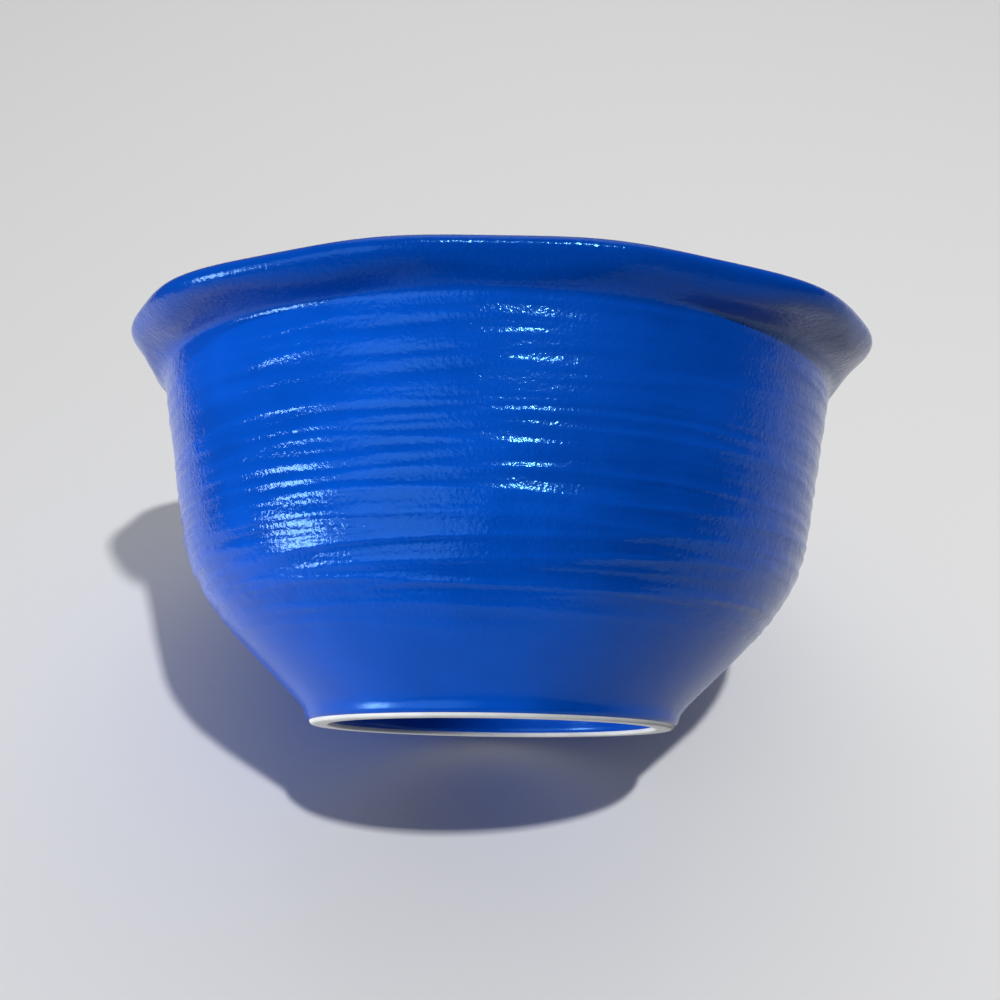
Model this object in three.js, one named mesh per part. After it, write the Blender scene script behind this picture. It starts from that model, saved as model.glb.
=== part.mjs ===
// A wheel-thrown stoneware bowl with a fluted rim: one fired clay body under three glaze coats.
// Millimetres, +Z up. The origin is the centre of the foot ring's underside.

import * as THREE from "three";

// Heights of the clay above the table
const HEIGHT = 88.1; // top of the lip, as the mean of its waves
const RIM_RISE = 7.5; // from the neck, where the wall turns out into the rim, up to the lip
const BELLY_HEIGHT = 43.8; // where the belly's curve runs into the straight wall
const COVE_HEIGHT = 6.8; // where the foot's cove runs into the belly
const FOOT_HEIGHT = 3.2; // turned outer side of the foot ring
const WELL_DEPTH = 6; // hollow inside the foot ring
const FLOOR = 6; // clay between the foot well and the inside

// Radii of the clay
const RIM_RADIUS = 88.3; // outermost roll of the lip, as the mean of its waves
const RIM_FLARE = 9.7; // how far the rim stands out from the neck
const WALL_LEAN = 6.1; // how far the wall leans out between the belly and the neck
const FOOT_RADIUS = 42; // outer edge of the foot ring
const FOOT_RING = 4.5; // width of the foot ring
const FOOT_LEAN = 1; // how far the foot ring's side leans out
const COVE_WIDTH = 3.9; // how far the cove stands out from the foot's edge
const FLOOR_FLAT = 14; // level middle of the floor

// Walls, edges and curves
const WALL = 4.6; // thickness of the wall at belly and neck
const LIP_ROLL = 1.6; // radius of the rounded lip
const FOOT_EDGE = 0.8; // worn edges of the foot ring
const WELL_CORNER = 2; // cut-in corner between the foot ring and the well's ceiling
const BELLY_ANGLE = 45; // slope at which the belly leaves the cove, in degrees
const BELLY_LOWER_PULL = 18.6; // how far the belly keeps that slope
const BELLY_UPPER_PULL = 15.7; // how far the wall's lean reaches down into the belly
const INSIDE_WALL_PULL = 22; // how far the wall's lean reaches down inside
const INSIDE_FLOOR_PULL = 30; // how far the level floor reaches out
const UNDERSIDE_ANGLE = 18; // slope at which the rim's underside leaves the neck, in degrees
const OUTER_LIP_ANGLE = -25; // where the underside runs into the lip, degrees round the roll
const CREST_ANGLE = 90; // top of the lip, where the outer and inner coats meet
const INNER_LIP_ANGLE = 115; // where the lip runs into the inside, degrees round the roll
const INNER_NECK_DROP = 4; // how far under the neck the inside of the rim runs into the wall

// Hand-pressed rim: narrow flutes in and out, on broad sways that also rise and fall
const FLUTES = 12;
const FLUTE_DEPTH = 0.62;
const SWAYS = 4;
const SWAY_DEPTH = 3;
const SWAY_LIFT = 1.15;
const SWAY_TURN = 4.5; // turn of the sways against the flutes, in degrees

// Glaze
const GLAZE = 0.5; // height of a coat's face above the clay
const SEAM = 0.02; // hairline between a coat and the clay, so that each is a solid of its own
const BARE_EDGE = 1.1; // clay left bare above the table, on both sides of the foot ring
const RING_PITCH = 6; // spacing of the throwing rings
const RING_DEPTH = 0.35;
const RING_START = 20; // height at which the rings begin to show

// Facets
const SEGMENTS = 60; // round the axis, a whole number for each flute
const FACET_CORNERS = 6; // a facet is two triangles
const RING_STEPS = 2; // a hollow and a crest for each throwing ring
const COVE_STEPS = 2;
const BELLY_STEPS = 6;
const UNDERSIDE_STEPS = 3;
const LIP_STEPS = 2;
const INNER_RIM_STEPS = 4;
const INSIDE_STEPS = 5;

// Corner points of the section, as radius and height
const at = (radius, height) => new THREE.Vector2(radius, height);
const neck = at(RIM_RADIUS - RIM_FLARE, HEIGHT - RIM_RISE);
const belly = at(neck.x - WALL_LEAN, BELLY_HEIGHT);
const coveTop = at(FOOT_RADIUS + COVE_WIDTH, COVE_HEIGHT);
const footTop = at(FOOT_RADIUS + FOOT_LEAN, FOOT_HEIGHT);
const roll = at(RIM_RADIUS - LIP_ROLL, HEIGHT - LIP_ROLL);
const wellRadius = FOOT_RADIUS - FOOT_RING;
const floorTop = WELL_DEPTH + FLOOR;
const lean = neck.clone().sub(belly).normalize();

const QUARTER_TURN = 90;
const radians = THREE.MathUtils.degToRad;
const heading = (degrees) => at(Math.cos(radians(degrees)), Math.sin(radians(degrees)));
const along = (start, direction, length) => start.clone().addScaledVector(direction, length);
const onRoll = (degrees) => along(roll, heading(degrees), LIP_ROLL);
const roundRoll = (degrees) => heading(degrees + QUARTER_TURN);
const onFootSide = (height) => at(FOOT_RADIUS + (FOOT_LEAN * height) / FOOT_HEIGHT, height);

// A round stretch that leaves one point in one direction and reaches another point in another direction
function bend(start, startHeading, end, endHeading) {
  const reach = end.clone().sub(start).cross(endHeading) / startHeading.cross(endHeading);
  return new THREE.QuadraticBezierCurve(start, along(start, startHeading, reach), end);
}

// Ceiling of the foot well, from the axis out, and the inner side of the foot ring down to its bare edge
function wellFace() {
  return [
    at(0, WELL_DEPTH),
    at(wellRadius - WELL_CORNER, WELL_DEPTH),
    at(wellRadius, WELL_DEPTH - WELL_CORNER),
    at(wellRadius, BARE_EDGE),
  ];
}

// Bare underside of the foot ring, from its inner edge to its outer edge
function bareFoot() {
  return [
    at(wellRadius, FOOT_EDGE),
    at(wellRadius + FOOT_EDGE, 0),
    at(FOOT_RADIUS - FOOT_EDGE, 0),
    onFootSide(FOOT_EDGE),
  ];
}

// Outer side of the foot ring, from its bare edge up, and the lower part of the cove
function footFace() {
  const cove = bend(footTop, at(FOOT_LEAN, FOOT_HEIGHT).normalize(), coveTop, heading(BELLY_ANGLE));
  return [onFootSide(BARE_EDGE), ...cove.getPoints(COVE_STEPS).slice(0, -1)];
}

// Belly, from the cove up to where the straight wall begins; the wall itself runs on to the neck
const bellyCurve = new THREE.CubicBezierCurve(
  coveTop,
  along(coveTop, heading(BELLY_ANGLE), BELLY_LOWER_PULL),
  along(belly, lean, -BELLY_UPPER_PULL),
  belly,
);
const bellyFace = () => bellyCurve.getPoints(BELLY_STEPS);

// Neck, underside of the rim and outer half of the lip, up to its crest
function rimFace() {
  const lipStart = onRoll(OUTER_LIP_ANGLE);
  const underside = bend(neck, heading(UNDERSIDE_ANGLE), lipStart, roundRoll(OUTER_LIP_ANGLE));
  const points = underside.getPoints(UNDERSIDE_STEPS);
  for (let i = 1; i <= LIP_STEPS; i += 1) {
    points.push(onRoll(THREE.MathUtils.lerp(OUTER_LIP_ANGLE, CREST_ANGLE, i / LIP_STEPS)));
  }
  return points;
}

// Inner half of the lip, the inside of the wall and the floor, ending on the axis
function insideFace() {
  const innerLip = onRoll(INNER_LIP_ANGLE);
  const innerNeck = along(at(neck.x - WALL, neck.y), lean, -INNER_NECK_DROP);
  const innerBelly = at(belly.x - WALL, belly.y);
  const innerRim = bend(innerLip, roundRoll(INNER_LIP_ANGLE), innerNeck, lean.clone().negate());
  const bowl = new THREE.CubicBezierCurve(
    innerBelly,
    along(innerBelly, lean, -INSIDE_WALL_PULL),
    at(FLOOR_FLAT + INSIDE_FLOOR_PULL, floorTop),
    at(FLOOR_FLAT, floorTop),
  );
  return [...innerRim.getPoints(INNER_RIM_STEPS), ...bowl.getPoints(INSIDE_STEPS), at(0, floorTop)];
}

// The same belly and wall as the glaze shows them: low rings left by the fingers, crest and hollow in turn
function ringedWall() {
  const path = new THREE.CurvePath();
  path.add(bellyCurve);
  path.add(new THREE.LineCurve(belly, neck));
  const rings = Math.round(path.getLength() / RING_PITCH);
  const points = path.getSpacedPoints(RING_STEPS * rings).slice(0, -1);
  const heights = points.map((point, i) => {
    const showing = THREE.MathUtils.smoothstep(point.y, RING_START, BELLY_HEIGHT);
    const wave = (1 - Math.cos((2 * Math.PI * i) / RING_STEPS)) / 2;
    return wave * showing * RING_DEPTH;
  });
  return { points, heights };
}

// Moves each point of a section outwards, square to the face, by the coat's depth there
function lift(face, depthAt) {
  return face.map((point, i) => {
    const before = face[Math.max(i - 1, 0)];
    const after = face[Math.min(i + 1, face.length - 1)];
    const arriving = point.clone().sub(before).normalize();
    const tangent = after.clone().sub(point).normalize().add(arriving).normalize();
    return along(point, at(tangent.y, -tangent.x), depthAt(i));
  });
}

// Presses the flutes and sways into everything that stands out along the rim's flare
function flute(geometry) {
  const flare = roll.clone().sub(neck);
  const position = geometry.attributes.position;
  for (let i = 0; i < position.count; i += 1) {
    const radius = Math.hypot(position.getX(i), position.getZ(i));
    const height = position.getY(i);
    const angle = Math.atan2(position.getX(i), position.getZ(i));
    const reach = at(radius, height).sub(neck).dot(flare) / flare.lengthSq();
    const share = THREE.MathUtils.smoothstep(reach, 0, 1);
    const sway = Math.cos(SWAYS * (angle - radians(SWAY_TURN)));
    const waved = radius - share * (FLUTE_DEPTH * Math.cos(FLUTES * angle) + SWAY_DEPTH * sway);
    position.setXYZ(
      i,
      waved * Math.sin(angle),
      height + share * SWAY_LIFT * sway,
      waved * Math.cos(angle),
    );
  }
}

// Splits every facet from its upper corner on one side to its lower corner on the other, whichever way the
// section runs, so that a coat lies on the clay facet for facet
function alignDiagonals(geometry) {
  const corners = geometry.index.array;
  const { position } = geometry.attributes;
  for (let i = 0; i < corners.length; i += FACET_CORNERS) {
    const [start, beside, end, opposite] = corners.slice(i, i + FACET_CORNERS);
    if (position.getY(start) > position.getY(end)) {
      corners.set([start, beside, opposite, opposite, end, start], i);
    }
  }
}

// Turns a section about the axis, waves its rim and stands it upright
function turned(name, section, material) {
  const geometry = new THREE.LatheGeometry(section, SEGMENTS);
  alignDiagonals(geometry);
  flute(geometry);
  geometry.rotateX(radians(QUARTER_TURN));
  const mesh = new THREE.Mesh(geometry, material);
  mesh.name = name;
  return mesh;
}

// Bare fired clay is off-white and matt; the cobalt glaze is deep blue and glossy
const fired = (color, roughness) => new THREE.MeshStandardMaterial({ color, roughness, metalness: 0 });
const bareStoneware = () => fired("#cfd3d6", 0.8);
const cobaltGlaze = () => fired("#0a48b8", 0.12);

// Sections of the clay, in order from the axis underneath to the axis inside
const well = wellFace();
const bare = bareFoot();
const foot = footFace();
const bellied = bellyFace();
const rim = rimFace();
const inside = insideFace();
const claySection = [...well, ...bare, ...foot, ...bellied, ...rim, ...inside];

// Backs of the coats, a hairline off the clay
const seats = lift(claySection, () => SEAM);
const seatFootStart = well.length + bare.length;
const seatCrest = seatFootStart + foot.length + bellied.length + rim.length;

// Glazed faces of the coats; the outer wall carries the rings
const ringed = ringedWall();
const ringStart = seatFootStart + foot.length;
const glazedFaces = [...well, ...bare, ...foot, ...ringed.points, ...rim, ...inside];
const glazed = lift(glazedFaces, (i) => GLAZE + (ringed.heights[i - ringStart] ?? 0));
const glazedCrest = ringStart + ringed.points.length + rim.length;

const wellCoat = [...glazed.slice(0, well.length), ...seats.slice(0, well.length).reverse()];
const outerFace = glazed.slice(seatFootStart, glazedCrest);
const outerCoat = [...outerFace, ...seats.slice(seatFootStart, seatCrest).reverse(), outerFace[0]];
const liningCoat = [...seats.slice(seatCrest - 1).reverse(), ...glazed.slice(glazedCrest - 1)];

const bowl = new THREE.Group();
bowl.add(
  turned("clay_body", claySection, bareStoneware()),
  turned("outer_glaze", outerCoat, cobaltGlaze()),
  turned("inner_glaze", liningCoat, cobaltGlaze()),
  turned("foot_well_glaze", wellCoat, cobaltGlaze()),
);

export default bowl;
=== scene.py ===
# %% [markdown]
# # A cobalt-glazed stoneware bowl
# The bowl was thrown on a wheel, its rim was pressed into flutes by hand while it was soft, and its foot
# was turned when the clay was leather-hard. It was then dipped in glaze, and only the foot's edge was wiped
# bare. This lesson models it in that order: a section, a turn of the wheel, pressed flutes, glaze, light.
#
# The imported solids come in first. They are the frame: they fix where everything is and how big it is.

# %% Load the frame
import math
from bisect import bisect

import bpy
from mathutils import Matrix, Vector, geometry


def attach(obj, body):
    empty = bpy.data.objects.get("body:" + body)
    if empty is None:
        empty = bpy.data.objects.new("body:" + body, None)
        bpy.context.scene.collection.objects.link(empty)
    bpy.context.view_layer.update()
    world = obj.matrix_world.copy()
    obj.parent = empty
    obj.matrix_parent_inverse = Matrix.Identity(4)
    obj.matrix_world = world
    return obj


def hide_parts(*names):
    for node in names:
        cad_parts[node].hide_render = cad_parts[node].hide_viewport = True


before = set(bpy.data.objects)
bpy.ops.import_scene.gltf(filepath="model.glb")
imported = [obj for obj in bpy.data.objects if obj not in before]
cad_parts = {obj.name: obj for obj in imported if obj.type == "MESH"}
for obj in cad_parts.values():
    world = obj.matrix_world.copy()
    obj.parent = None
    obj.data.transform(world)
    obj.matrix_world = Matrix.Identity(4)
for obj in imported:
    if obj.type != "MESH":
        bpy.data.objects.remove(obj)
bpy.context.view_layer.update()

bpy.ops.object.select_all(action="DESELECT")
print("solids:", sorted(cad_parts))

# %% [markdown]
# ## The camera
# The picture looks up at the bowl's front from a little below its foot, so the underside of the rim and the
# bare ring of the foot both show. The place and the lens were found by fitting a pinhole camera to the
# outline. A camera looks along its own -Z, so its turn is written as three directions: right, up and back.

# %% Set the camera
MM = 0.001
CAMERA_PLACE = Vector((1.06, -375.2, -20.2)) * MM
CAMERA_RISE = math.radians(11.2)
CAMERA_ROLL = math.radians(0.89)
LENS_MM = 57.6

bpy.ops.object.camera_add(location=CAMERA_PLACE)
camera = bpy.context.object
forward = Vector((0, math.cos(CAMERA_RISE), math.sin(CAMERA_RISE)))
level_up = Vector((0, -math.sin(CAMERA_RISE), math.cos(CAMERA_RISE)))
level_right = Vector((1, 0, 0))
right = level_right * math.cos(CAMERA_ROLL) + level_up * math.sin(CAMERA_ROLL)
up = level_up * math.cos(CAMERA_ROLL) - level_right * math.sin(CAMERA_ROLL)
camera.rotation_euler = Matrix((right, up, -forward)).transposed().to_euler()
camera.data.lens = LENS_MM
bpy.context.scene.camera = camera
bpy.context.scene.view_settings.view_transform = "Standard"
print("camera at", [round(value, 3) for value in camera.location])

# %% [markdown]
# ## The section
# Everything on the bowl but the flutes is round, so one section says nearly all of it. It is the potter's
# template: foot ring, cove, belly, straight wall, flaring rim, and the inside back down to the floor. These
# are the sizes of the clay itself. The glaze is laid on afterwards, half a millimetre thick.

# %% Sizes of the clay
HEIGHT = 88.1 * MM  # top of the lip, as the mean of its waves
RIM_RISE = 7.5 * MM  # from the neck, where the wall turns out into the rim, up to the lip
BELLY_HEIGHT = 43.8 * MM  # where the belly's curve runs into the straight wall
COVE_HEIGHT = 6.8 * MM
FOOT_HEIGHT = 3.2 * MM
WELL_DEPTH = 6 * MM
FLOOR = 6 * MM
RIM_RADIUS = 88.3 * MM
RIM_FLARE = 9.7 * MM
WALL_LEAN = 6.1 * MM
FOOT_RADIUS = 42 * MM
FOOT_RING = 4.5 * MM
FOOT_LEAN = 1 * MM
COVE_WIDTH = 3.9 * MM
FLOOR_FLAT = 14 * MM
WALL = 4.6 * MM
LIP_ROLL = 1.6 * MM
FOOT_EDGE = 0.8 * MM
WELL_CORNER = 2 * MM
BELLY_ANGLE = 45
BELLY_LOWER_PULL = 18.6 * MM
BELLY_UPPER_PULL = 15.7 * MM
INSIDE_WALL_PULL = 22 * MM
INSIDE_FLOOR_PULL = 30 * MM
UNDERSIDE_ANGLE = 18
OUTER_LIP_ANGLE = -25
CREST_ANGLE = 90
INNER_LIP_ANGLE = 115
INNER_NECK_DROP = 4 * MM
QUARTER_TURN = 90


def at(radius, height):
    """A point of the section, which lies in the XZ plane."""
    return Vector((radius, 0, height))


def heading(degrees):
    """A direction in the section: 0 points away from the axis and 90 points up."""
    return at(math.cos(math.radians(degrees)), math.sin(math.radians(degrees)))


neck = at(RIM_RADIUS - RIM_FLARE, HEIGHT - RIM_RISE)
belly = at(neck.x - WALL_LEAN, BELLY_HEIGHT)
cove_top = at(FOOT_RADIUS + COVE_WIDTH, COVE_HEIGHT)
foot_top = at(FOOT_RADIUS + FOOT_LEAN, FOOT_HEIGHT)
roll = at(RIM_RADIUS - LIP_ROLL, HEIGHT - LIP_ROLL)
well_radius = FOOT_RADIUS - FOOT_RING
floor_top = WELL_DEPTH + FLOOR
lean = (neck - belly).normalized()
print("neck at", neck.to_tuple(4), "and belly at", belly.to_tuple(4))

# %% [markdown]
# ## Drawing curves with even steps
# A Bezier curve gives smooth stretches from few points, but its steps are uneven. The rings in the glaze
# are only a few millimetres apart, so the rows of the mesh have to be fine and even. The curve is therefore
# sampled densely first, and then walked along in equal steps.

# %% Curves of the section
DENSE = 200  # samples of a curve before it is walked along


def spaced(points, row):
    """The same line, with its points about one row apart."""
    lengths = [0]
    for start, end in zip(points, points[1:]):
        lengths.append(lengths[-1] + (end - start).length)
    count = max(1, round(lengths[-1] / row))
    walked = []
    for step in range(count):
        goal = lengths[-1] * step / count
        i = bisect(lengths, goal) - 1
        walked.append(points[i].lerp(points[i + 1], (goal - lengths[i]) / (lengths[i + 1] - lengths[i])))
    return walked + [points[-1]]


def bend(start, start_heading, end, end_heading):
    """A round stretch between two points, leaving one and reaching the other in the given directions."""
    meeting = geometry.intersect_line_line(start, start + start_heading, end, end + end_heading)[0]
    pull = 2 / 3  # handles this far along make a cubic curve the same as the quadratic one to the meeting
    leaving, reaching = start.lerp(meeting, pull), end.lerp(meeting, pull)
    return geometry.interpolate_bezier(start, leaving, reaching, end, DENSE)


def on_roll(degrees):
    """A point on the rounded lip."""
    return roll + heading(degrees) * LIP_ROLL


def round_roll(first, last):
    """The lip from one angle to another."""
    return [on_roll(first + (last - first) * step / DENSE) for step in range(DENSE + 1)]


def on_foot_side(height):
    """A point on the foot ring's leaning outer side."""
    return at(FOOT_RADIUS + FOOT_LEAN * height / FOOT_HEIGHT, height)


def lifted(face, depth):
    """The same line moved square to itself, to its right-hand side."""
    moved = []
    for i, point in enumerate(face):
        before = (point - face[max(i - 1, 0)]).normalized()
        after = (face[min(i + 1, len(face) - 1)] - point).normalized()
        tangent = (before + after).normalized()
        moved.append(point + at(tangent.z, -tangent.x) * depth)
    return moved


print("crest of the lip at", on_roll(CREST_ANGLE).to_tuple(4))

# %% Faces of the section
BARE_EDGE = 0.9 * MM  # clay left bare above the foot's underside
CURVE_ROW = 1.2 * MM
LIP_ROW = 0.35 * MM
EDGE_ROW = 0.6 * MM
WORN_ROW = FOOT_EDGE / 4  # on the small rounded edges of the foot


def joined(*stretches):
    """Stretches that share their end points, as one line."""
    line = [stretches[0][0]]
    for stretch in stretches:
        line += stretch[1:]
    return line


def well_face(row):
    """Ceiling of the foot well, from the axis out, and the inner side of the foot ring."""
    corner = at(well_radius - WELL_CORNER, WELL_DEPTH)
    side = at(well_radius, WELL_DEPTH - WELL_CORNER)
    rounded = bend(corner, heading(0), side, heading(-QUARTER_TURN))
    return joined(
        spaced([at(0, WELL_DEPTH), corner], row),
        spaced(rounded, EDGE_ROW),
        spaced([side, at(well_radius, BARE_EDGE)], row),
    )


def bare_foot():
    """Bare underside of the foot ring, with its worn edges rounded."""
    inner = at(well_radius, FOOT_EDGE)
    inner_flat = at(well_radius + FOOT_EDGE, 0)
    outer_flat = at(FOOT_RADIUS - FOOT_EDGE, 0)
    outer = on_foot_side(FOOT_EDGE)
    return joined(
        [at(well_radius, BARE_EDGE), inner],
        spaced(bend(inner, heading(-QUARTER_TURN), inner_flat, heading(0)), WORN_ROW),
        spaced([inner_flat, outer_flat], EDGE_ROW),
        spaced(bend(outer_flat, heading(0), outer, (foot_top - outer).normalized()), WORN_ROW),
        [outer, on_foot_side(BARE_EDGE)],
    )


def foot_face(row):
    """Outer side of the foot ring and the cove above it."""
    start = on_foot_side(BARE_EDGE)
    cove = bend(foot_top, (foot_top - start).normalized(), cove_top, heading(BELLY_ANGLE))
    return joined(spaced([start, foot_top], row), spaced(cove, row))


def wall_face(row):
    """Belly and straight wall, from the cove up to the neck."""
    lower = cove_top + heading(BELLY_ANGLE) * BELLY_LOWER_PULL
    upper = belly - lean * BELLY_UPPER_PULL
    swell = geometry.interpolate_bezier(cove_top, lower, upper, belly, DENSE)
    return spaced(joined(swell, [belly, neck]), row)


def rim_face(row):
    """Underside of the rim and the outer half of the lip, up to its crest."""
    lip_start = on_roll(OUTER_LIP_ANGLE)
    underside = bend(neck, heading(UNDERSIDE_ANGLE), lip_start, heading(OUTER_LIP_ANGLE + QUARTER_TURN))
    return joined(spaced(underside, row), spaced(round_roll(OUTER_LIP_ANGLE, CREST_ANGLE), LIP_ROW))


def inside_face(row):
    """Inner half of the lip, the inside of the wall and the floor, ending on the axis."""
    inner_lip = on_roll(INNER_LIP_ANGLE)
    inner_neck = at(neck.x - WALL, neck.z) - lean * INNER_NECK_DROP
    inner_belly = at(belly.x - WALL, belly.z)
    rim = bend(inner_lip, heading(INNER_LIP_ANGLE + QUARTER_TURN), inner_neck, -lean)
    swell = geometry.interpolate_bezier(
        inner_belly,
        inner_belly - lean * INSIDE_WALL_PULL,
        at(FLOOR_FLAT + INSIDE_FLOOR_PULL, floor_top),
        at(FLOOR_FLAT, floor_top),
        DENSE,
    )
    return joined(
        spaced(round_roll(CREST_ANGLE, INNER_LIP_ANGLE), LIP_ROW),
        spaced(joined(rim, [inner_neck, inner_belly], swell, [swell[-1], at(0, floor_top)]), row),
    )


print("rows of the wall at the coarse step:", len(wall_face(CURVE_ROW)))

# %% [markdown]
# ## The wheel
# A section becomes a bowl by Spin, the wheel of this lesson. The section is drawn as a poly curve, which
# keeps its points in order, made a mesh line by Convert, and spun once round the axis. Extruding a vertex
# from point to point gives the same line, but takes hundreds of steps. Spin leaves a seam and a heap of
# points on the axis, so doubles are merged before the normals are turned outwards.

# %% Throwing a piece
COLUMNS = 300
WELD = 0.002 * MM
SHARP_ANGLE = math.radians(50)


def draw_section(name, points):
    """Draws a line from point to point and returns it as a new mesh piece."""
    bpy.ops.object.select_all(action="DESELECT")
    bpy.ops.curve.primitive_bezier_curve_add()
    piece = bpy.context.object
    piece.name = name
    piece.data.splines.clear()
    line = piece.data.splines.new("POLY")
    line.points.add(len(points) - 1)
    for drawn, point in zip(line.points, points):
        drawn.co = (*point, 1)
    bpy.ops.object.convert(target="MESH")
    piece.data.name = name
    return piece


def throw(piece):
    """Spins a section once round the axis and closes its seam and its poles."""
    bpy.ops.object.mode_set(mode="EDIT")
    bpy.ops.mesh.select_all(action="SELECT")
    bpy.ops.mesh.spin(steps=COLUMNS, angle=math.tau, center=(0, 0, 0), axis=(0, 0, 1))
    bpy.ops.mesh.select_all(action="SELECT")
    bpy.ops.mesh.remove_doubles(threshold=WELD)
    bpy.ops.mesh.normals_make_consistent(inside=False)
    bpy.ops.object.mode_set(mode="OBJECT")
    bpy.ops.object.shade_smooth_by_angle(angle=SHARP_ANGLE)


print("columns at the rim are", round(math.tau * RIM_RADIUS / COLUMNS / MM, 2), "mm apart")

# %% [markdown]
# ## The fingers
# The rim was then pressed between finger and thumb: narrow flutes in and out, on broad sways that also rise
# and fall. No operator presses waves that fade towards the neck, so each point of the rim is moved by the
# wave's own formula, the same one that shapes the solids. The fingertips underneath also left shallow
# dents, half a millimetre deep, which are too slight for the solids but bend every reflection on the rim.

# %% Pressing the rim
FLUTES = 12
FLUTE_DEPTH = 0.62 * MM
SWAYS = 4
SWAY_DEPTH = 3 * MM
SWAY_LIFT = 1.15 * MM
SWAY_TURN = math.radians(4.5)
DENT_DEPTH = 0.5 * MM
DENT_TURN = math.radians(5)


def smoothstep(value, low, high):
    """0 below low, 1 above high, and an easy curve between them."""
    share = min(max((value - low) / (high - low), 0), 1)
    return share * share * (3 - 2 * share)


def press_rim(piece):
    """Presses the flutes, sways and dents into everything that stands out along the rim's flare."""
    flare = roll - neck
    for corner in piece.data.vertices:
        radius = math.hypot(corner.co.x, corner.co.y)
        angle = math.atan2(corner.co.x, -corner.co.y)
        reach = (at(radius, corner.co.z) - neck).dot(flare) / flare.length_squared
        share = smoothstep(reach, 0, 1)
        sway = math.cos(SWAYS * (angle - SWAY_TURN))
        waved = radius - share * (FLUTE_DEPTH * math.cos(FLUTES * angle) + SWAY_DEPTH * sway)
        hump = 4 * share * (1 - share)  # 0 at the neck and on the lip, and 1 halfway between them
        dent = DENT_DEPTH * hump * math.cos(FLUTES * (angle - DENT_TURN))
        height = corner.co.z + share * SWAY_LIFT * sway - dent
        corner.co = (waved * math.sin(angle), -waved * math.cos(angle), height)


print("waves of the rim:", FLUTES, "flutes on", SWAYS, "sways")

# %% [markdown]
# ## The clay body
# The fired clay runs through the whole bowl, but only its bare foot ring shows. It is thrown whole all the
# same, so that the glaze has something to lie on.

# %% Throw the clay body
clay_section = joined(
    well_face(CURVE_ROW),
    bare_foot(),
    foot_face(CURVE_ROW),
    wall_face(CURVE_ROW),
    rim_face(CURVE_ROW),
    inside_face(CURVE_ROW),
)
clay = draw_section("clay_body_turned", clay_section)
throw(clay)
press_rim(clay)
print(clay.name, len(clay.data.polygons), "faces")

# %% [markdown]
# ## Throwing rings
# The potter's fingers leave low rings as the wall is pulled up, and the glaze softens them. They are not
# perfect circles: each runs for a few centimetres, fades and starts again a little higher. Between two
# round grooves stands a sharper crest. A ridged noise that is stretched round the bowl has that form, so a
# Displace modifier pushes the glazed face out and in by it. An empty sets the stretch: long sideways, short
# upwards. A vertex group fades the rings out towards the foot and stops them at the neck.
#
# How far each point was pushed is kept as an attribute, because glaze runs thin on the crests and gathers
# in the hollows, and the colour will follow that.

# %% Rings and notes on a glazed face
def weigh(piece, group, weights):
    """Gives each point of a drawn section its weight in a vertex group; Spin carries the weights round."""
    shares = piece.vertex_groups.new(name=group)
    for i, weight in enumerate(weights):
        shares.add([i], weight, "REPLACE")


def note(piece, name, values):
    """Keeps one number for each point of a piece, for its material to read."""
    attribute = piece.data.attributes.new(name, "FLOAT", "POINT")
    attribute.data.foreach_set("value", values)


def push_rings(piece, group, pitch, length, depth):
    """Displaces a glazed face by noise that is stretched round the bowl."""
    bpy.ops.object.select_all(action="DESELECT")
    bpy.ops.object.empty_add()
    stretch = bpy.context.object
    stretch.scale = (length, length, pitch)
    texture = bpy.data.textures.new(group, "MUSGRAVE")
    texture.musgrave_type = "RIDGED_MULTIFRACTAL"
    texture.noise_scale = 1
    texture.octaves = 1
    piece.select_set(True)
    bpy.context.view_layer.objects.active = piece
    bpy.ops.object.modifier_add(type="DISPLACE")
    displace = piece.modifiers[-1]
    displace.texture = texture
    displace.texture_coords = "OBJECT"
    displace.texture_coords_object = stretch
    displace.vertex_group = group
    displace.strength = depth
    bpy.ops.object.modifier_apply(modifier=displace.name)
    bpy.data.objects.remove(stretch)


def ring_face(piece, group, rings):
    """Pushes every kind of ring into a face and notes how far each point stands out, in millimetres."""
    before = [corner.co.copy() for corner in piece.data.vertices]
    outwards = [corner.normal.copy() for corner in piece.data.vertices]
    for pitch, length, depth in rings:
        push_rings(piece, group, pitch, length, depth)
    moves = zip(piece.data.vertices, before, outwards)
    pushes = [(corner.co - old).dot(out) / MM for corner, old, out in moves]
    note(piece, "stands_out", pushes)
    print(piece.name, "was pushed by", round(min(pushes), 2), "to", round(max(pushes), 2), "mm")
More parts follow.
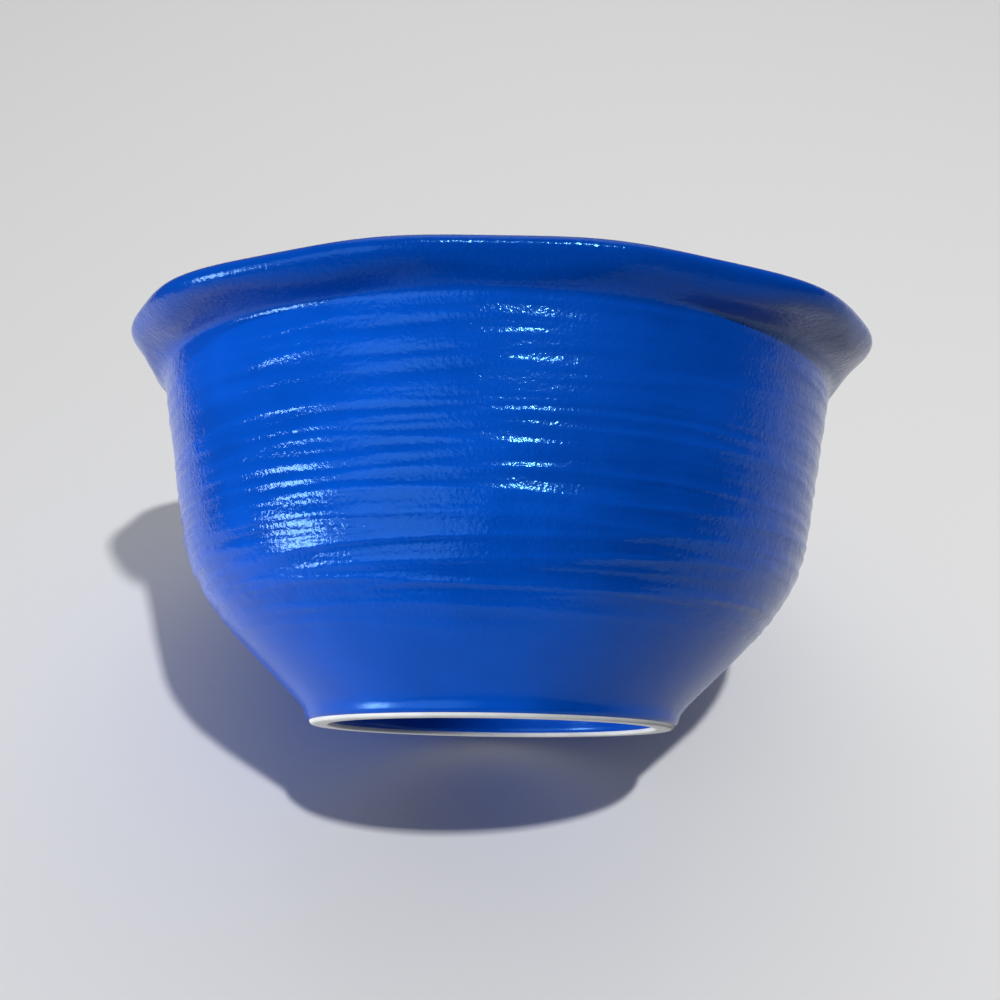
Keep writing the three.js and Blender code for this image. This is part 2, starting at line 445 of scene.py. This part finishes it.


# %% [markdown]
# ## The outer glaze
# The outer coat starts about a millimetre above the foot's underside, which was wiped clean, and ends on
# the crest of the lip. It is a closed shell: a glazed face with fine rows for the rings, and a plain back
# just off the clay. Melted glaze draws itself into a bead where it stops, so its depth swells from nothing
# at the bare edge. It runs off the rolled lip and gathers in the corner at the neck.
#
# Three more attributes are noted on the section, and Spin carries them round: where the glaze breaks thin,
# where it hangs thick and is painted a darker blue as shade under the flare, and where it is dimpled.

# %% Throw the outer glaze
GLAZE = 0.5 * MM
SEAM = 0.02 * MM  # hairline between a coat and the clay
BEAD = 0.9 * MM  # width over which the glaze swells at its bare edge
RING_ROW = 0.5 * MM
RIM_ROW = 0.6 * MM
RING_START = 14 * MM  # height at which the rings begin
RING_FULL = 25 * MM  # height at which they have their full depth
RING_FAINT = 0.4  # share of their depth that the rings lose on the way up to the neck
NECK_FADE = 3 * MM  # height over which the wall's surface gives way to the rim's
OUTER_RINGS = [  # pitch, length, depth
    (4.2 * MM, 80 * MM, 0.42 * MM),
    (1.9 * MM, 34 * MM, 0.22 * MM),
    (1.1 * MM, 22 * MM, 0.04 * MM),
]
THIN_LIP = 1.6 * MM  # how far down from the crest the glaze breaks thin
THIN_REACH = 3 * MM  # how far from the rolled lip the coat comes back to its full depth
LIP_LOSS = 0.5  # share of its depth that the glaze lost on the rolled lip
SMOOTH_BELLY = 0.3  # share of the dimples that is left below the rings
BACK_ROW = 3 * MM
EASE_REACH = 2.2 * MM  # how far from the neck's corner the glaze fills it
EASE_ROUNDS = 12


def run_off(point):
    """1 on the rolled lip, from which the melted glaze ran off, and 0 a few millimetres away."""
    return 1 - smoothstep((point - roll).length, LIP_ROLL, LIP_ROLL + THIN_REACH)


def glazed(face, edge):
    """A coat's face over a face of the clay: beaded at its bare edge, and thinner on the rolled lip."""
    depths = []
    for point in face:
        short = 1 - min((point - edge).length / BEAD, 1)
        depths.append(max(GLAZE * math.sqrt(1 - short * short) * (1 - LIP_LOSS * run_off(point)), SEAM))
    flat = lifted(face, 1)
    return [point.lerp(unit, depth) for point, unit, depth in zip(face, flat, depths)]


def eased(line, corner):
    """The same line with a corner filled round, as glaze gathers in it."""
    for _ in range(EASE_ROUNDS):
        middles = [before.lerp(after, 0.5) for before, after in zip(line, line[2:])]
        shares = [max(1 - (point - corner).length / EASE_REACH, 0) for point in line[1:-1]]
        inner = [point.lerp(middle, share) for point, middle, share in zip(line[1:-1], middles, shares)]
        line = [line[0], *inner, line[-1]]
    return line


def lip_share(points):
    """1 on the crest of the lip, where the glaze breaks thin, and 0 a little below it."""
    crest = on_roll(CREST_ANGLE)
    return [1 - smoothstep((point - crest).length, GLAZE, GLAZE + THIN_LIP) for point in points]


def ring_share(point):
    """Rings show on the wall and fade out down the belly; the cove, the neck and the rim have none."""
    rising = smoothstep(point.z, RING_START, RING_FULL)
    fainter = 1 - RING_FAINT * smoothstep(point.z, RING_FULL, neck.z)
    return rising * fainter * (1 - smoothstep(point.z, neck.z - NECK_FADE, neck.z))


def deep_and_shaded_share(point):
    """Glaze hangs thick under the flare, where a darker blue also paints shade, and less so on the lip."""
    above_neck = smoothstep(point.z, neck.z - NECK_FADE / 2, neck.z + NECK_FADE / 2)
    return above_neck * (1 - LIP_LOSS * run_off(point))


def peel_share(point):
    """The glaze is dimpled all over the wall, and runs smooth down the belly."""
    return SMOOTH_BELLY + (1 - SMOOTH_BELLY) * smoothstep(point.z, RING_START, RING_FULL)


outer_face = joined(foot_face(EDGE_ROW), wall_face(RING_ROW), rim_face(RIM_ROW))
outer_front = eased(glazed(outer_face, outer_face[0]), neck)
outer_back = lifted(joined(foot_face(CURVE_ROW), wall_face(BACK_ROW), rim_face(CURVE_ROW)), SEAM)
outer_section = outer_front + outer_back[::-1] + outer_front[:1]
outer = draw_section("outer_glaze_coat", outer_section)
weigh(outer, "rings", [ring_share(point) for point in outer_front])
note(outer, "thin_lip", lip_share(outer_section))
note(outer, "peel", [peel_share(point) for point in outer_section])
# deep: thick glaze under the flare, which also gets a darker blue as painted shade
note(outer, "deep", [deep_and_shaded_share(point) for point in outer_section])
throw(outer)
ring_face(outer, "rings", OUTER_RINGS)
press_rim(outer)
print(outer.name, len(outer.data.polygons), "faces")

# %% [markdown]
# ## The lining
# The photograph doesn't look inside. Such a bowl is lined with the same glaze as it is dipped in, over
# rings that the fingers smoothed more than outside, so the lining is the same coat with wider rings.

# %% Throw the lining
LINING_ROW = 0.9 * MM
LINING_RINGS = [(9 * MM, 140 * MM, 0.28 * MM), (4.5 * MM, 90 * MM, 0.2 * MM)]  # pitch, length, depth

lining_face = inside_face(LINING_ROW)
lining_front = glazed(lining_face, Vector())
lining_back = lifted(inside_face(BACK_ROW), SEAM)
lining_section = lining_back[::-1] + lining_front
lining = draw_section("inner_glaze_coat", lining_section)
bare_back = [0] * len(lining_back)
weigh(lining, "rings", bare_back + [ring_share(point) for point in lining_front])
note(lining, "thin_lip", lip_share(lining_section))
note(lining, "peel", [peel_share(point) for point in lining_section])
# deep: thick glaze under the flare, which also gets a darker blue as painted shade
note(lining, "deep", [deep_and_shaded_share(point) for point in lining_section])
throw(lining)
ring_face(lining, "rings", LINING_RINGS)
press_rim(lining)
print(lining.name, len(lining.data.polygons), "faces")

# %% [markdown]
# ## The foot well
# Under the bowl, inside the foot ring, the glaze was left on: a shallow disc with a rounded corner.

# %% Throw the foot well's glaze
well = well_face(EDGE_ROW)
well_section = glazed(well, well[-1]) + lifted(well_face(CURVE_ROW), SEAM)[::-1]
foot_well = draw_section("foot_well_glaze_coat", well_section)
note(foot_well, "thin_lip", [0] * len(well_section))
note(foot_well, "peel", [SMOOTH_BELLY] * len(well_section))
note(foot_well, "deep", [0] * len(well_section))
throw(foot_well)
note(foot_well, "stands_out", [0] * len(foot_well.data.vertices))
print(foot_well.name, len(foot_well.data.polygons), "faces")

# %% [markdown]
# ## Cobalt glaze
# The blue is a glossy stoneware glaze coloured with cobalt and fired until it melted. It is a layer of
# glass: the colour lies inside it, and the top reflects the room with the strength that its index gives.
#
# It is never quite even. It is lighter on the crests, darker in the hollows, and clouded over centimetres.
# The wall is finely dimpled like orange peel, so bright reflections break up into specks and streaks. The
# glaze is smoother and less glossy near the foot. Under the flare it lies thick and mirrors less, and its
# darker blue there is thick glaze and painted shade. Along the lip it ran thin, and breaks to a greyish
# olive in patches.
#
# Inputs are given by name or by number. A Map Range takes its value as 0, the range of it as 1 and 2, and
# the range that this becomes as 3 and 4. A Mix takes its share as 0, two numbers as 2 and 3, and two colours
# as 6 and 7, and gives the colour as output 2.

# %% Colours and nodes
def linear(code):
    """An sRGB hex colour as linear red, green, blue and alpha."""
    values = [int(code[i:i + 2], 16) / 255 for i in (1, 3, 5)]
    return [v / 12.92 if v <= 0.04045 else ((v + 0.055) / 1.055) ** 2.4 for v in values] + [1]


def node(tree, kind, inputs=None, **settings):
    """Adds one node; inputs are values, or sockets to link, by the name or number of the input."""
    made = tree.nodes.new("ShaderNode" + kind)
    for name, value in settings.items():
        setattr(made, name, value)
    for name, value in (inputs or {}).items():
        if isinstance(value, bpy.types.NodeSocket):
            tree.links.new(value, made.inputs[name])
        else:
            made.inputs[name].default_value = value
    return made


def new_material(name):
    """An empty node material and its output node."""
    material = bpy.data.materials.new(name)
    material.use_nodes = True
    material.node_tree.nodes.clear()
    return material, node(material.node_tree, "OutputMaterial")


def per_mm(size):
    """Texture scale at which one noise cell is this many millimetres wide."""
    return 1 / (size * MM)


print("mid grey in linear light:", round(linear("#808080")[0], 3))

# %% Mix the cobalt glaze
HOLLOW_BLUE = "#003E9F"
CREST_BLUE = "#0249B6"
# darker blue under the flare: thick glaze and painted shade
SHADED_FLARE_BLUE = "#00348A"
LIP_OLIVE = "#545846"
MIRROR_TINT = "#78C6FF"
CLOUD_MM = 22
WORN_MM = 16
SWELL_MM = 5
PEEL_MM = 0.9
SWELL_DEPTH = 0.14 * MM
PEEL_DEPTH = 0.12 * MM
STANDS_OUT_MM = 0.2  # push at which the colour is that of a full crest or a full hollow
POOL_TINT = 0.16  # how far such a push moves the colour along the clouds' ramp
WORN_LOW, WORN_HIGH = 0.35, 0.7  # noise at which the lip is least and most worn
LEAST_WORN, MOST_WORN = 0.1, 0.75
CLEAREST, HAZIEST = 0.1, 0.2  # roughness of the glaze, from cloud to cloud
BELLY_DULL = 0.12  # roughness added where there are no dimples
WALL_MIRROR, FLARE_MIRROR = 0.5, 0.3  # 0.5 is the full strength of the index
GLAZE_INDEX = 1.47


def cobalt_glaze(name):
    """Glossy cobalt stoneware glaze, clouded, pooled and dimpled, for broken highlights on a deep blue."""
    material, output = new_material(name)
    tree = material.node_tree
    place = node(tree, "TexCoord").outputs["Object"]
    build = node(tree, "Attribute", attribute_name="stands_out").outputs["Fac"]
    thin = node(tree, "Attribute", attribute_name="thin_lip").outputs["Fac"]
    rough = node(tree, "Attribute", attribute_name="peel").outputs["Fac"]
    thick = node(tree, "Attribute", attribute_name="deep").outputs["Fac"]
    clouds = node(tree, "TexNoise", {"Vector": place, "Scale": per_mm(CLOUD_MM), "Detail": 3})
    pooled = node(
        tree, "MapRange", {0: build, 1: -STANDS_OUT_MM, 2: STANDS_OUT_MM, 3: -POOL_TINT, 4: POOL_TINT}
    )
    depth = node(tree, "Math", {0: clouds.outputs[0], 1: pooled.outputs[0]}, operation="ADD")
    blue = node(tree, "ValToRGB", {0: depth.outputs[0]})
    stops = blue.color_ramp.elements
    stops[0].position, stops[0].color = 0.25, linear(HOLLOW_BLUE)
    stops[1].position, stops[1].color = 0.75, linear(CREST_BLUE)
    # darkens the blue under the flare, partly as painted shade
    deeper_and_shaded = node(tree, "Mix", {0: thick, 6: blue.outputs[0], 7: linear(SHADED_FLARE_BLUE)}, data_type="RGBA")
    worn = node(tree, "TexNoise", {"Vector": place, "Scale": per_mm(WORN_MM), "Detail": 4})
    patchy = node(
        tree, "MapRange", {0: worn.outputs[0], 1: WORN_LOW, 2: WORN_HIGH, 3: LEAST_WORN, 4: MOST_WORN}
    )
    bared = node(tree, "Math", {0: thin, 1: patchy.outputs[0]}, operation="MULTIPLY")
    colours = {0: bared.outputs[0], 6: deeper_and_shaded.outputs[2], 7: linear(LIP_OLIVE)}
    broken = node(tree, "Mix", colours, data_type="RGBA")
    swell = node(tree, "TexNoise", {"Vector": place, "Scale": per_mm(SWELL_MM), "Detail": 1})
    swollen = node(tree, "Bump", {"Strength": rough, "Height": swell.outputs[0], "Distance": SWELL_DEPTH})
    peel = node(tree, "TexNoise", {"Vector": place, "Scale": per_mm(PEEL_MM), "Detail": 2})
    dimpled = node(
        tree,
        "Bump",
        {"Strength": rough, "Height": peel.outputs[0], "Distance": PEEL_DEPTH, "Normal": swollen.outputs[0]},
    )
    haze = node(tree, "MapRange", {0: clouds.outputs[0], 3: CLEAREST, 4: HAZIEST})
    dull = node(tree, "MapRange", {0: rough, 3: BELLY_DULL, 4: 0})
    gloss = node(tree, "Math", {0: haze.outputs[0], 1: dull.outputs[0]}, operation="ADD")
    mirror = node(tree, "MapRange", {0: thick, 3: WALL_MIRROR, 4: FLARE_MIRROR})
    glass = node(
        tree,
        "BsdfPrincipled",
        {
            "Base Color": broken.outputs[2],
            "Roughness": gloss.outputs[0],
            "IOR": GLAZE_INDEX,
            "Specular IOR Level": mirror.outputs[0],
            "Specular Tint": linear(MIRROR_TINT),
            "Normal": dimpled.outputs[0],
        },
    )
    tree.links.new(glass.outputs[0], output.inputs["Surface"])
    return material


mirrored_share = ((GLAZE_INDEX - 1) / (GLAZE_INDEX + 1)) ** 2
print("share of light that the glaze mirrors straight on:", round(mirrored_share, 3))

# %% [markdown]
# ## Bare stoneware
# The foot's edge is the clay itself, fired off-white: matt, faintly speckled with iron, and finely pitted
# where the turning tool dragged grit through it.

# %% Mix the bare stoneware
CLAY_DARK = "#BFC1C2"
CLAY_LIGHT = "#D3D5D7"
IRON = "#8A7C6A"
GRIT_MM = 0.7
PATCH_MM = 9
PIT_DEPTH = 0.08 * MM
IRON_LOW, IRON_HIGH = 0.68, 0.76  # noise at which a grain of iron begins to show and shows fully


def bare_stoneware(name):
    """Off-white fired stoneware, matt, speckled and gritty, for a chalky edge against the gloss."""
    material, output = new_material(name)
    tree = material.node_tree
    place = node(tree, "TexCoord").outputs["Object"]
    grit = node(tree, "TexNoise", {"Vector": place, "Scale": per_mm(GRIT_MM), "Detail": 4})
    patches = node(tree, "TexNoise", {"Vector": place, "Scale": per_mm(PATCH_MM), "Detail": 3})
    body = node(tree, "ValToRGB", {0: patches.outputs[0]})
    stops = body.color_ramp.elements
    stops[0].position, stops[0].color = 0.3, linear(CLAY_DARK)
    stops[1].position, stops[1].color = 0.7, linear(CLAY_LIGHT)
    iron = node(tree, "MapRange", {0: grit.outputs[0], 1: IRON_LOW, 2: IRON_HIGH})
    colours = {0: iron.outputs[0], 6: body.outputs[0], 7: linear(IRON)}
    speckled = node(tree, "Mix", colours, data_type="RGBA")
    pitted = node(tree, "Bump", {"Height": grit.outputs[0], "Distance": PIT_DEPTH})
    clay_shader = node(
        tree,
        "BsdfPrincipled",
        {"Base Color": speckled.outputs[2], "Roughness": 0.8, "IOR": 1.5, "Normal": pitted.outputs[0]},
    )
    tree.links.new(clay_shader.outputs[0], output.inputs["Surface"])
    return material


print("grains in the clay:", GRIT_MM, "mm")

# %% [markdown]
# ## Glazing and seating
# Each piece gets its material, rides on the bowl's one body and takes the place of the solid that it was
# made for. Nothing on a bowl moves, so there are no joints to follow.

# %% Glaze and seat the pieces
finishes = [
    (clay, "clay_body", "bare_stoneware", bare_stoneware("bare_stoneware")),
    (outer, "outer_glaze", "cobalt_glaze_outside", cobalt_glaze("cobalt_glaze_outside")),
    (lining, "inner_glaze", "cobalt_glaze_inside", cobalt_glaze("cobalt_glaze_inside")),
    (foot_well, "foot_well_glaze", "cobalt_glaze_foot", cobalt_glaze("cobalt_glaze_foot")),
]
for piece, solid, slot, material in finishes:
    piece.data.materials.append(material)
    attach(piece, "root")
    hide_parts(solid)
    print(piece.name, "stands for", solid)

# %% [markdown]
# ## The table and the floor
# The picture was taken with the bowl lying on its side on a white table, so the table is a tilted plane
# behind it. The glaze mirrors that table along both edges and under the belly, so the table matters as much
# as the lamps. It is seen only from its front, so that a view from behind still sees the bowl. A second pale
# plane lies under the foot for the views from above, and is seen only from above.

# %% Lay the table and the floor
TABLE_NORMAL = Vector((0, -0.809, 0.588))
TABLE_AT = Vector((0, 46.2, 0)) * MM
TABLE_EDGE = 270 * MM  # from the bowl's foot to the edge at which the viewer stands
TABLE_LEFT = 245 * MM  # from the bowl's axis to the table's edge on the window's side
STAGE_SIZE = 6  # metres
FLOOR_DROP = 0.2 * MM
FLOOR_GLOW = 0.3
STAGE_PAINT = "#E4E4E4"
WHITE = "#FFFFFF"


def pale_sheet(name, place, normal, glow):
    """A large matt pale plane that shows only its front, with a glow of its own if one is given."""
    bpy.ops.mesh.primitive_plane_add(size=STAGE_SIZE, location=place)
    sheet = bpy.context.object
    sheet.name = name
    sheet.rotation_euler = normal.to_track_quat("Z", "Y").to_euler()
    material, output = new_material(name)
    tree = material.node_tree
    paint = node(tree, "BsdfDiffuse", {"Color": linear(STAGE_PAINT)})
    light = node(tree, "Emission", {"Color": linear(WHITE), "Strength": glow})
    front = node(tree, "AddShader", {0: paint.outputs[0], 1: light.outputs[0]})
    clear = node(tree, "BsdfTransparent")
    back = node(tree, "NewGeometry").outputs["Backfacing"]
    shown = node(tree, "MixShader", {0: back, 1: front.outputs[0], 2: clear.outputs[0]})
    tree.links.new(shown.outputs[0], output.inputs["Surface"])
    material.cycles.emission_sampling = "NONE"
    sheet.data.materials.append(material)
    sheet.visible_shadow = False
    return sheet


uphill = TABLE_NORMAL.cross(Vector((1, 0, 0))).normalized()
aside = Vector((STAGE_SIZE / 2 - TABLE_LEFT, 0, 0))
table = pale_sheet("table", TABLE_AT + aside + uphill * (STAGE_SIZE / 2 - TABLE_EDGE), TABLE_NORMAL, 0)
floor = pale_sheet("floor", Vector((0, 0, -FLOOR_DROP)), Vector((0, 0, 1)), FLOOR_GLOW)
floor.visible_diffuse = False
floor.visible_glossy = False
table.visible_diffuse = False
print("stage:", table.name, floor.name)

# %% [markdown]
# ## Light
# One small lamp stands high over the table and throws the shadow. A low window on the left brightens that
# side and draws its bright band down the wall. Its light through a curtain is broader and isn't mirrored.
# Two lamps over the rim open the inside.
#
# The floor would burn out close to the key and the window, so it is left out of what they light and glows a
# little instead. The window would skim the table and wash out the shadow, so the table is left out too.

# %% Light the bowl
LAMP_TARGET = Vector((0, 0, 45)) * MM
LAMPS = [
    # name, direction, distance, width, height, watts, what it leaves unlit, whether the glaze mirrors it
    ("key", (0.18, -0.942, 0.284), 1.3, 0.045, 0.045, 11.2, [floor], True),
    ("window", (-0.905, -0.253, -0.342), 0.9, 0.26, 0.26, 5.2, [floor, table], True),
    ("curtain", (-0.87, -0.355, -0.342), 0.9, 0.4, 0.36, 4.2, [floor, table], False),
    ("top", (0, -0.2, 0.98), 0.9, 0.8, 0.8, 1.7, [], True),
    ("inside", (0, -0.1, 0.995), 0.7, 0.3, 0.3, 2.5, [floor, table], False),
]
for name, direction, distance, width, height, watts, unlit, mirrored in LAMPS:
    towards = Vector(direction).normalized()
    bpy.ops.object.light_add(type="AREA", location=LAMP_TARGET + towards * distance)
    lamp = bpy.context.object
    lamp.name = name
    lamp.rotation_euler = towards.to_track_quat("Z", "Y").to_euler()
    lamp.data.shape = "RECTANGLE"
    lamp.data.size = width
    lamp.data.size_y = height
    lamp.data.energy = watts
    lamp.visible_glossy = mirrored
    if unlit:
        left_out = bpy.data.collections.new("not lit by the " + name)
        for sheet in unlit:
            left_out.objects.link(sheet)
        for entry in left_out.collection_objects:
            entry.light_linking.link_state = "EXCLUDE"
        lamp.light_linking.receiver_collection = left_out
print("lamps:", len(LAMPS))

# %% [markdown]
# ## The room
# The room lights the bowl dimly, a little more from above and from behind. The glaze mirrors it as dark but
# for one bright patch, which gives the wide, faint band between the two bright ones. The camera sees a plain
# pale wall past the table's edges.

# %% The room
ROOM_SIDE = (-0.53, -0.735, -0.42)  # direction of the room's bright patch
PATCH_EDGE, PATCH_CORE = 0.88, 0.98  # nearness to that direction at which it begins and is at its brightest
ROOM_BRIGHT = 2.6
ROOM_DARK = 0.03
ROOM_FILL = 0.14
ROOM_ABOVE = 0.4
ABOVE_LOW, ABOVE_HIGH = 0.3, 0.8  # share of the way up at which the upper light begins and is full
ROOM_BEHIND = 0.4
BEHIND_LOW, BEHIND_HIGH = 0.1, 0.7  # share of the way back at which the light behind begins and is full
ROOM_SEEN = 0.75
world = bpy.data.worlds.new("room")
bpy.context.scene.world = world
world.use_nodes = True
world.node_tree.nodes.clear()
tree = world.node_tree
view = node(tree, "LightPath")
towards = node(tree, "TexCoord").outputs["Generated"]
facing = node(tree, "VectorMath", {0: towards, 1: ROOM_SIDE}, operation="DOT_PRODUCT")
near = facing.outputs["Value"]
side = node(tree, "MapRange", {0: near, 1: PATCH_EDGE, 2: PATCH_CORE, 3: ROOM_DARK, 4: ROOM_BRIGHT})
along = node(tree, "SeparateXYZ", {0: towards}).outputs
above = node(tree, "MapRange", {0: along["Z"], 1: ABOVE_LOW, 2: ABOVE_HIGH, 3: ROOM_FILL, 4: ROOM_ABOVE})
behind = node(tree, "MapRange", {0: along["Y"], 1: BEHIND_LOW, 2: BEHIND_HIGH, 3: 0, 4: ROOM_BEHIND})
soft = node(tree, "Math", {0: above.outputs[0], 1: behind.outputs[0]}, operation="ADD")
level = node(tree, "Mix", {0: view.outputs["Is Glossy Ray"], 2: soft.outputs[0], 3: side.outputs[0]})
seen = node(tree, "Mix", {0: view.outputs["Is Camera Ray"], 2: level.outputs[0], 3: ROOM_SEEN})
room = node(tree, "Background", {"Color": linear(WHITE), "Strength": seen.outputs[0]})
node(tree, "OutputWorld", {"Surface": room.outputs[0]})
print("room levels", ROOM_BRIGHT, ROOM_ABOVE, ROOM_BEHIND, ROOM_FILL, ROOM_DARK)
